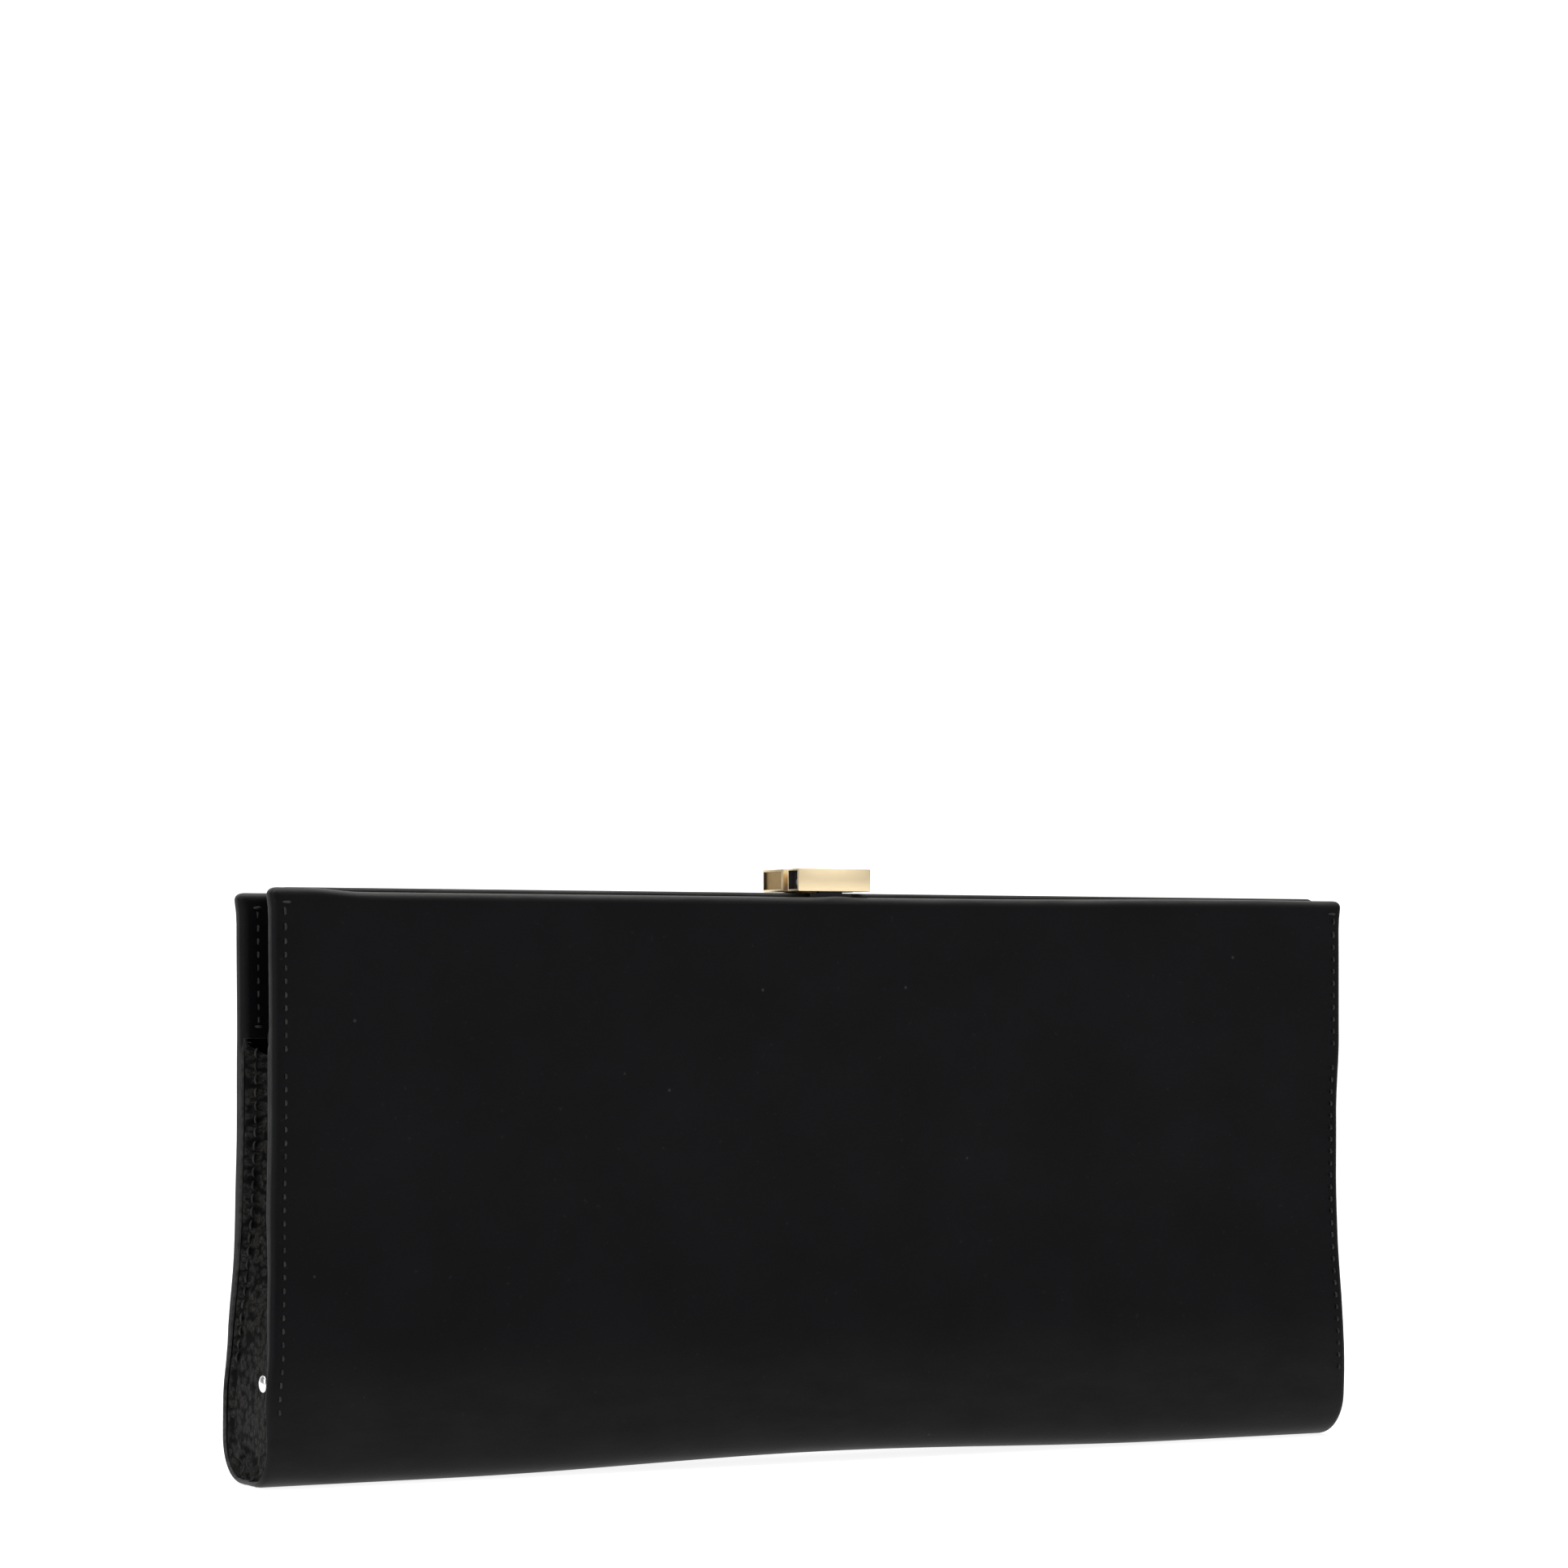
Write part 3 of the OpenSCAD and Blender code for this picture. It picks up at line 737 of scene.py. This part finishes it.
def gusset_point(end, sign, share, z, lift=0.0):
    """A point on a gusset leaf's outer face: share is 0 at the fold and 1 at the leather."""
    width = gusset_width(z)
    soft = 0.13
    line = (math.sqrt(share * share + soft * soft) - soft) / (math.sqrt(1 + soft * soft) - soft)
    flat = smooth((share - 0.70) / 0.18)
    fold = along(z, FOLD_DEPTH) * (1 - line * (1 + 0.18 * flat)) * (1 - flat)
    free = 1 - smooth((share - 0.8) / 0.12)
    low = smooth((13 - z) / 10)
    creases = 0.42 * low * math.sin(share * 9 + z * 0.9) + 0.3 * low * math.sin(share * 17 - z * 1.7)
    crease = 0.55 * math.exp(-((share - 0.74) / 0.06) ** 2) * smooth((z - 6) / 10)
    rough = 0.22 * noise.noise(Vector((share * 4 * sign, z / 5, end)))
    sunk = 0.85 + 0.5 * smooth((share - 0.87) / 0.13)
    x = HALF + along(z, FLARE) - sunk - fold - crease + (rough - creases) * free + lift
    return Vector((end * x - along(z, LEAN), sign * share * width, z))


def leaf_top(share, z):
    """Keeps the middle of the gusset clear of the hinge."""
    return min(z, FOLD_TOP + (GUSSET_TOP - FOLD_TOP) * smooth((share - 0.68) / 0.2))


def follow_fold(piece):
    """Bakes the leaf's placement into its mesh."""
    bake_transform(piece)


def gusset_leaf(end_name, end, side):
    sign = SIDES[side]
    shares = join_runs(spread(0, 0.7, 0.045), spread(0.7, 1, 0.025))
    heights = join_runs(spread(GUSSET_LOW, 12, 0.7), spread(12, FOLD_TOP, 1.5),
                        spread(FOLD_TOP, GUSSET_TOP, 0.7))
    bm = bmesh.new()
    patch(bm, shares, heights, lambda s, z: gusset_point(end, sign, s, leaf_top(s, z)),
          lambda s, z: (sign * s * 14, z))
    tidy_sheet(bm, Vector((end, 0, 0)))
    piece = mesh_object(f"gusset_{end_name}_{side}", bm, (gusset_hide, edge_paint))
    thicken(piece, GUSSET_T - 0.2)
    shade(piece, 60)
    follow_fold(piece)
    return piece


ENDS = {"left": -1, "right": 1}
for end_name, end in ENDS.items():
    leaves = [gusset_leaf(end_name, end, side) for side in SIDES]
    dress(leaves[0], "gusset_leather", "gusset_" + end_name)
    dress(leaves[1], "gusset_leather")


# ---------- rivets and clasp ----------

def lathe(bm, profile, centre, axis, steps=36):
    """Turns a (radius, height) profile about an axis through centre."""
    spin = axis.to_track_quat("Z", "Y")
    rings = []
    for radius, height in profile:
        if radius == 0:
            rings.append([bm.verts.new(centre + spin @ Vector((0, 0, height)))])
        else:
            rings.append([bm.verts.new(centre + spin @ Vector((
                radius * math.cos(math.tau * i / steps), radius * math.sin(math.tau * i / steps), height)))
                for i in range(steps)])
    for low, high in zip(rings, rings[1:]):
        for i in range(steps):
            a, b = low[i % len(low)], low[(i + 1) % len(low)]
            c, d = high[(i + 1) % len(high)], high[i % len(high)]
            corners = list(dict.fromkeys((a, b, c, d)))
            if len(corners) > 2:
                bm.faces.new(corners)
    bmesh.ops.recalc_face_normals(bm, faces=bm.faces)


def gusset_rivet(end_name, end):
    """A domed rivet with a rolled rim, its shank and its washer inside."""
    r = (rivet_high.z - rivet_low.z) / 2
    y, z = (rivet_high.y + rivet_low.y) / 2, (rivet_high.z + rivet_low.z) / 2
    seat = end * gusset_point(end, -1, abs(y) / gusset_width(z), z).x + 0.3
    back = -GUSSET_T - 0.7
    profile = [(0, back - 0.5), (r - 0.5, back - 0.5), (r - 0.3, back - 0.3), (r - 0.3, back), (0.9, back),
               (0.9, 0), (r - 0.15, 0), (r, 0.14), (r, 0.3)]
    profile += [(r * math.cos(math.radians(a)), 0.3 + 0.75 * math.sin(math.radians(a)))
                for a in spread(10, 90, 10)[:-1]]
    profile += [(0, 1.05)]
    bm = bmesh.new()
    lathe(bm, profile, Vector((end * seat, y, z)), Vector((end, 0, 0)))
    piece = mesh_object("rivet_" + end_name, bm, (bright_nickel,))
    shade(piece, 35)
    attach(piece, "pouch")
    dress(piece, "steel", "gusset_rivet_" + end_name)


for end_name, end in ENDS.items():
    gusset_rivet(end_name, end)


def beveled_box(low, high, round_by, recess=0.0, rim=0.3):
    """A metal block with bright chamfers and, if asked, recessed ends in the second material."""
    bm = bmesh.new()
    bmesh.ops.create_cube(bm, size=1)
    middle, size = (low + high) / 2, high - low
    for v in bm.verts:
        v.co = Vector(tuple(middle[k] + v.co[k] * size[k] for k in range(3)))
    bmesh.ops.bevel(bm, geom=list(bm.edges), offset=round_by, segments=2, profile=0.6, affect="EDGES",
                    clamp_overlap=True)
    if recess:
        bm.normal_update()
        ends = [f for f in bm.faces if abs(f.normal.x) > 0.999]
        bmesh.ops.inset_individual(bm, faces=ends, thickness=rim)
        walls = bmesh.ops.inset_individual(bm, faces=ends, thickness=0.03, depth=-recess)["faces"]
        for face in ends:
            face.material_index = 1
        for face in walls:
            face.material_index = 2
    return bm


def combine(piece, tool, operation):
    """Joins another solid to the piece or cuts it away, for good."""
    work = piece.modifiers.new("combine", "BOOLEAN")
    work.object = tool
    work.operation = operation
    work.solver = "EXACT"
    bake_modifiers(piece)
    bpy.data.objects.remove(tool)


def plain_box(low, high, round_by=0.12):
    return mesh_object("tool", beveled_box(Vector(low), Vector(high), round_by), (gold,))


BAR_HALF = bar_high.x
CLASP_LOW = bar_low.z
CLASP_TOP = bar_high.z
PIVOT_Y = (lever_pin_low.y + lever_pin_high.y) / 2
BAR_FRONT = bar_low.y
BAR_REAR = 2 * PIVOT_Y - BAR_FRONT
BAR_WALL = 0.8
TONGUE_HALF = 3
TONGUE_T = 0.8
SLOT_HALF = 3.6
BLOCK_FRONT = block_low.y


def front_bar():
    """The hollow front bar, with the tongue that reaches into the block behind it."""
    low, high = Vector((-BAR_HALF, BAR_FRONT, CLASP_LOW)), Vector((BAR_HALF, BAR_REAR, CLASP_TOP))
    # the hollow ends and their walls take the dark copy of the metal as painted shade
    piece = mesh_object("clasp_front_bar", beveled_box(low, high, 0.3, 1.6, 0.22),
                        (gold, shaded_inside, shaded_inside))
    tongue_low = CLASP_LOW + 0.45
    tongue = plain_box((-TONGUE_HALF, BAR_REAR - 0.5, tongue_low),
                       (TONGUE_HALF, bar_high.y, tongue_low + TONGUE_T), 0.2)
    combine(piece, tongue, "UNION")
    hollow = bracket_high.x + 0.4
    combine(piece, plain_box((-hollow, BAR_FRONT + BAR_WALL, CLASP_LOW - 2),
                             (hollow, BAR_REAR - BAR_WALL, CLASP_TOP - BAR_WALL)), "DIFFERENCE")
    shade(piece, 40)
    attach(piece, "clasp_lever")
    return piece


def rear_block():
    """The rear block with its slot for the tongue, on the plate that is riveted to the frame."""
    low, high = Vector((-BAR_HALF, BLOCK_FRONT, CLASP_LOW)), Vector((BAR_HALF, block_high.y, CLASP_TOP))
    # the recessed ends take a brown copy of the gold as painted shade, and their walls the darker painted
    # shade
    piece = mesh_object("clasp_rear_block", beveled_box(low, high, 0.36, 0.5, 0.3),
                        (gold, shaded_gold, shaded_inside))
    slot = plain_box((-SLOT_HALF, BLOCK_FRONT - 1, CLASP_LOW - 1),
                     (SLOT_HALF, BLOCK_FRONT + 4.2, CLASP_TOP - 1.2))
    combine(piece, slot, "DIFFERENCE")
    plate = plain_box((-bracket_high.x, -facing_high.y, bracket_low.z),
                      (bracket_high.x, -facing_low.y, CLASP_LOW + 0.6), 0.3)
    combine(piece, plate, "UNION")
    shade(piece, 40)
    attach(piece, "rear_half")
    return piece


dress(front_bar(), "gold_metal", "lever_bar")
dress(rear_block(), "gold_metal", "clasp_keeper")


# ---------- lining and pocket ----------

LINING_OUT = LEATHER_T + BOARD_T
LINING_TOP = TURN_LOW - 0.5
LINING_NARROW = 126.4       # above the gussets the lining stops before the deep turn
LINING_HALF = 133.5


def lining_rows(start):
    """(depth, height, inward direction) of the lining's outer side."""
    rows = [(d + LINING_OUT * n[0], z + LINING_OUT * n[1], n) for d, z, n in section_rows(start) if z < 90]
    foot = [r for r in rows if r[0] < BULGE - CORNER_R - 0.5 or r[1] > LINING_OUT + 0.01]
    top = [(along(z, [(88, TOP_OUT - LINING_OUT), (104, TOP_IN + 0.68)]), z, (-1.0, 0.0))
           for z in spread(91, LINING_TOP, 1.6)]
    return foot + top


def lining_half(side):
    sign = SIDES[side]
    rows = lining_rows(sign * SPLIT)
    run = [0.0]
    for (d0, z0, _), (d1, z1, _) in zip(rows, rows[1:]):
        run.append(run[-1] + math.hypot(d1 - d0, z1 - z0))

    def point(x, j):
        depth, z, inward = rows[j]
        free = smooth((z - 30) / 20) * smooth((84 - z) / 16)
        slack = 0.35 + 0.35 * noise.noise(Vector((x / 21, z / 26, 7 * sign)))
        x2, d2, z2 = settle(x, depth, z, inward, slack * free)
        return Vector((x2, sign * d2, z2))

    columns = both_ways(join_runs(spread(0, 120, 5), spread(120, LINING_NARROW, 1.6),
                                  spread(LINING_NARROW, LINING_HALF, 1.2)))
    bm = bmesh.new()
    patch(bm, columns, range(len(rows)), point, lambda x, j: (x, run[j]),
          lambda x0, x1, j0, j1: rows[j1][1] < HINGE_Z - 4 or max(abs(x0), abs(x1)) < LINING_NARROW + 0.1)
    tidy_sheet(bm, Vector((0, -sign, 0.01)))
    face = min(bm.faces, key=lambda f: abs(f.calc_center_median().x) + abs(f.calc_center_median().z - 60))
    if face.normal.y * sign > 0:
        bmesh.ops.reverse_faces(bm, faces=bm.faces)
    piece = mesh_object(side + "_lining", bm, (lining_cloth,))
    piece.modifiers.new("thickness", "SOLIDIFY")
    solid = piece.modifiers["thickness"]
    solid.thickness = LINING_T * MM
    solid.offset = 1
    bake_modifiers(piece)
    shade(piece)
    bend_with(piece)
    return piece


front_lining = lining_half("front")
rear_lining = lining_half("rear")
dress(front_lining, "lining", "lining")
dress(rear_lining, "lining")

POCKET_HALF = pocket_high.x
POCKET_OUT = LINING_OUT + LINING_T + 0.75


def pocket_point(x, z, lift=0.0):
    """A point of the slip pocket, on the side that faces into the bag."""
    across = 1 - (x / POCKET_HALF) ** 2
    up = smooth((z - pocket_low.z) / (pocket_high.z - pocket_low.z))
    gape = 1.3 * across * up ** 2
    dip = 1.2 * across * smooth((z - 60) / 20)
    depth = section_depth(z) - POCKET_OUT - gape - lift
    return Vector((x, depth, z - dip))


def slip_pocket():
    rows = spread(pocket_low.z, pocket_high.z, 2)
    columns = spread(-POCKET_HALF, POCKET_HALF, 5)
    bm = bmesh.new()
    patch(bm, columns, rows, pocket_point, lambda x, z: (x, z))
    tidy_sheet(bm, Vector((0, -1, 0)))
    piece = mesh_object("pocket_panel", bm, (lining_cloth,))
    thicken(piece, 0.6, 0)
    shade(piece)
    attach(piece, "pouch")

    bm = bmesh.new()
    top = pocket_high.z + 0.3
    loop = [(0.5, top - 7), (0.5, top - 0.5), (0.0, top), (-0.9, top), (-1.2, top - 0.5), (-1.2, top - 6)]
    patch(bm, columns, range(len(loop)), lambda x, j: pocket_point(x, loop[j][1], loop[j][0]),
          lambda x, j: (x, 4 * j))
    tidy_sheet(bm, Vector((0, 0, 1)))
    hem = mesh_object("pocket_hem", bm, (lining_cloth,))
    thicken(hem, 0.25, 0)
    shade(hem)
    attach(hem, "pouch")
    dress(piece, "lining", "slip_pocket")
    dress(hem, "lining")


slip_pocket()


# ---------- stitches ----------

def stitch(bm, a, b, out, radius=0.3, steps=6):
    """One stitch: a round thread that rises out of one hole and dives into the next."""
    run = b - a
    across = run.cross(out).normalized()
    up = across.cross(run).normalized()
    rings = []
    for share in (0.0, 0.12, 0.35, 0.65, 0.88, 1.0):
        rise = math.sin(math.pi * share) ** 0.6 if 0 < share < 1 else 0.0
        centre = a + run * share + up * (radius * (1.35 * rise - 0.7))
        thick = radius * (0.55 + 0.45 * rise)
        rings.append([bm.verts.new(centre + (across * math.cos(t) + up * math.sin(t)) * thick)
                      for t in (math.tau * i / steps for i in range(steps))])
    for low, high in zip(rings, rings[1:]):
        for i in range(steps):
            bm.faces.new((low[i], low[(i + 1) % steps], high[(i + 1) % steps], high[i]))
    bm.faces.new(list(reversed(rings[0])))
    bm.faces.new(rings[-1])


def stitch_line(bm, places, point, out, gap=0.55, radius=0.3):
    """Stitches between places, each a little shorter than the pitch."""
    for low, high in zip(places, places[1:]):
        a, b = point(low), point(high)
        cut = (b - a).normalized() * gap / 2
        stitch(bm, a + cut, b - cut, out, radius)


def thread_piece(name, bm):
    bmesh.ops.recalc_face_normals(bm, faces=bm.faces)
    piece = mesh_object(name, bm, (thread,))
    shade(piece, 80)
    return piece


def face_point(x, z, sign, out=0.05):
    """A point on the outer face of the leather above its round bottom."""
    if z >= WRAP_LOW:
        p = round_top(x, TOP_OUT, z, sign)
        return Vector((p.x, sign * (p.y + out), p.z))
    reach, depth, height = settle(x, section_depth(z), z, (-1.0, 0.0))
    return Vector((reach, sign * (depth + out), height))


TOP_SEAM = spread(TOP - 3.3, WRAP_LOW - 3.6, STITCH_PITCH)
LOW_SEAM = spread(WRAP_LOW - 6.7, 15.5, STITCH_PITCH)


def end_seams(side):
    """The seams beside the cut edges on the outside, with a back-tack at the top."""
    sign = SIDES[side]
    bm = bmesh.new()
    out = Vector((0, sign, 0))
    for end in ENDS.values():
        x = end * STITCH_X
        for places in (TOP_SEAM, LOW_SEAM):
            stitch_line(bm, places, lambda z: face_point(x, z, sign), out, 1.6, 0.32)
        tack = [x - end * 1.7, x + end * 0.5]
        stitch_line(bm, tack, lambda u: face_point(u, TOP - 3.1, sign), out, 0.1)
    piece = thread_piece(side + "_end_seams", bm)
    bend_with(piece)
    return piece


def turn_point(x, z, sign):
    """A point just off the inner turn."""
    p = round_top(x, TOP_IN, z, sign)
    return Vector((p.x, sign * (p.y - 0.05), p.z))


def turn_seams(side):
    """The same seams where they come out on the inner turn, beside the frame's arms."""
    sign = SIDES[side]
    bm = bmesh.new()
    out = Vector((0, -sign, 0))
    for end in ENDS.values():
        x = end * (STITCH_X - 1.2)
        line = spread(TOP - 3.3, WRAP_LOW + 2.6, STITCH_PITCH)
        stitch_line(bm, line, lambda z: turn_point(x, z, sign), out, 1.4, 0.34)
        for z in (line[0], line[-1]):
            stitch_line(bm, [x + end * 1.0, x - end * 1.2], lambda u: turn_point(u, z, sign), out, 0.1, 0.33)
    piece = thread_piece(side + "_turn_seams", bm)
    bend_with(piece)
    return piece


def gusset_seams(side):
    """The seams on the gussets, close to the leather, with the thread standing up like a cord."""
    sign = SIDES[side]
    bm = bmesh.new()
    for end in ENDS.values():
        out = Vector((end, -0.4 * sign, 0)).normalized()
        places = spread(GUSSET_TOP - 1, 26, STITCH_PITCH)
        stitch_line(bm, places, lambda z: gusset_point(end, sign, 0.76, z, 0.1), out, 0.7, 0.34)
    piece = thread_piece(side + "_gusset_seams", bm)
    follow_fold(piece)
    return piece


def strip_seams(side):
    """Two rows of stitches along the facing strip."""
    sign = SIDES[side]
    bm = bmesh.new()
    for z in (facing_low.z + 2.2, facing_high.z - 8.6):
        for run in ((-facing_high.x + 3, -NOTCH_HALF - 2), (NOTCH_HALF + 2, facing_high.x - 3)):
            stitch_line(bm, spread(run[0], run[1], STITCH_PITCH),
                        lambda x: Vector((x, sign * (-facing_high.y - 0.03), z)),
                        Vector((0, -sign, 0)), 0.6, 0.26)
    piece = thread_piece(side + "_strip_seams", bm)
    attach(piece, side + "_half")
    return piece


def pocket_seams():
    """The pocket's seams: down both sides, along the bottom and along the hem."""
    bm = bmesh.new()
    out = Vector((0, -1, 0))
    heights = spread(pocket_high.z - 1, pocket_low.z + 1.5, 2.4)
    widths = spread(-POCKET_HALF + 1.5, POCKET_HALF - 1.5, 2.4)
    for x in (-POCKET_HALF + 1.5, POCKET_HALF - 1.5):
        stitch_line(bm, heights, lambda z: pocket_point(x, z, 0.05), out, 0.5, 0.2)
    stitch_line(bm, widths, lambda x: pocket_point(x, pocket_low.z + 1.5, 0.05), out, 0.5, 0.2)
    stitch_line(bm, widths, lambda x: pocket_point(x, pocket_high.z - 5, 0.55), out, 0.5, 0.2)
    piece = thread_piece("pocket_seams", bm)
    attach(piece, "pouch")
    return piece


for side in SIDES:
    end_seams(side)
    turn_seams(side)
    gusset_seams(side)
    strip_seams(side)
pocket_seams()


# ---------- finishes of the CAD pieces that show as they are, with painted shade on the dark steel ---

def paint(material, *names, round_by=0.0):
    for name in names:
        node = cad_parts[name]
        node.data.materials.clear()
        node.data.materials.append(material)
        if round_by:
            soft = node.modifiers.new("edges", "BEVEL")
            soft.width = round_by * MM
            soft.segments = 2
            soft.limit_method = "ANGLE"
            soft.angle_limit = math.radians(50)


# painted shade: the frame, the clasp's plate and the hinge pins are dark because they sit in shadow
paint(shadow_steel, "front_frame", "rear_frame", round_by=0.25)
paint(shadow_steel, "clasp_bracket", round_by=0.15)
paint(shadow_steel, "hinge_pin_left", "hinge_pin_right")
paint(nickel, "lever_pin", "lever_spring", "bracket_rivets", "keeper_rivets")
paint(board, "front_board", "rear_board", "front_top_core", "rear_top_core")


# ---------- floor, light and camera ----------

def studio():
    """A pale floor that curves up into a backdrop behind the purse."""
    bm = bmesh.new()
    far, bend, height = 1900, 700, 2400
    profile = [(-2600, -0.05), (far, -0.05)]
    profile += [(far + bend * math.sin(a), bend * (1 - math.cos(a)) - 0.05)
                for a in spread(0, math.pi / 2, 0.13)[1:]]
    profile += [(far + bend, height)]
    turn = math.radians(28)
    forward, right = Vector((math.sin(turn), math.cos(turn), 0)), Vector((math.cos(turn), -math.sin(turn), 0))
    patch(bm, [-3200, 3200], range(len(profile)),
          lambda u, j: right * u + forward * profile[j][0] + Vector((0, 0, profile[j][1])),
          lambda u, j: (u, profile[j][0]))
    tidy_sheet(bm, Vector((0, 0, 1)))
    m = Nodes("pale_floor", (0.42, 0.42, 0.42), 0.9, specular=0.05)
    m.shader.inputs["Emission Color"].default_value = (1, 1, 1, 1)
    m.shader.inputs["Emission Strength"].default_value = 0.88
    floor = mesh_object("floor", bm, (m.material,))
    shade(floor)


def area_light(name, place, target, size, power, shape=(1, 1)):
    data = bpy.data.lights.new(name, "AREA")
    data.shape = "RECTANGLE"
    data.size, data.size_y = size * shape[0], size * shape[1]
    data.energy = power
    lamp = new_object(name, data)
    lamp.location = Vector(place)
    lamp.rotation_euler = (Vector(target) - Vector(place)).to_track_quat("-Z", "Y").to_euler()


def camera():
    """A long lens, low and to the left of the front, looking slightly up."""
    data = bpy.data.cameras.new("camera")
    data.sensor_width = 36
    data.lens = 109.2
    data.clip_end = 20
    eye = new_object("camera", data)
    eye.location = Vector((-0.532, -0.981, 0.1068))
    turn, rise = math.radians(28.08), math.radians(2.584)
    look = Vector((math.sin(turn) * math.cos(rise), math.cos(turn) * math.cos(rise), math.sin(rise)))
    eye.rotation_euler = look.to_track_quat("-Z", "Y").to_euler()
    bpy.context.scene.camera = eye


studio()
area_light("overhead", (0, 0.1, 1.5), (0, 0, 0), 1.6, 26)
area_light("backdrop_wash", (0.6, 1.2, 1.6), (1.0, 2.4, 0.5), 2.2, 14)
area_light("left_fill", (-1.5, -0.1, 0.6), (0, 0, 0.06), 0.9, 6)
area_light("front_fill", (0.9, -1.7, 0.9), (0, 0, 0.06), 1.0, 4.5)
world = bpy.data.worlds.new("studio_air")
bpy.context.scene.world = world
world.use_nodes = True
world.node_tree.nodes["Background"].inputs["Color"].default_value = (0.95, 0.97, 1.0, 1)
world.node_tree.nodes["Background"].inputs["Strength"].default_value = 0.28
bpy.context.scene.view_settings.view_transform = "Standard"
camera()
